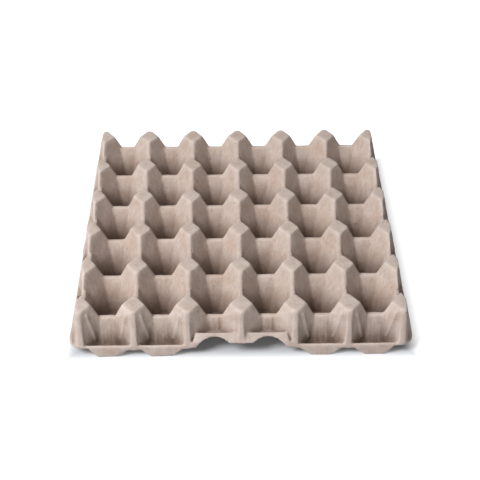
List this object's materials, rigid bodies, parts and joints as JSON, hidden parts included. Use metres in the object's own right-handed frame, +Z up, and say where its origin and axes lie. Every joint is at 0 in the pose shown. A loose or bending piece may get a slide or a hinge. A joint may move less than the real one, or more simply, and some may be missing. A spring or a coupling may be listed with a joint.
{
  "type": "pulp egg tray",
  "caption": "Moulded pulp egg tray: one thin sheet with funnel wells, diamond-topped posts, low saddles, a lobed skirt and finger arches.",
  "frame": {"origin": "middle of the footprint, on the plane that the wells' floors and the skirt's lobes stand on", "axes": "+Z up, X along the sides that are six wells long, Y along the sides that are five wells long"},
  "size_m": [0.295, 0.295, 0.046],
  "materials": {
    "pulp": "matt moulded pulp"
  },
  "bodies": {
    "root": {"tray": "pulp"}
  },
  "joints": []
}
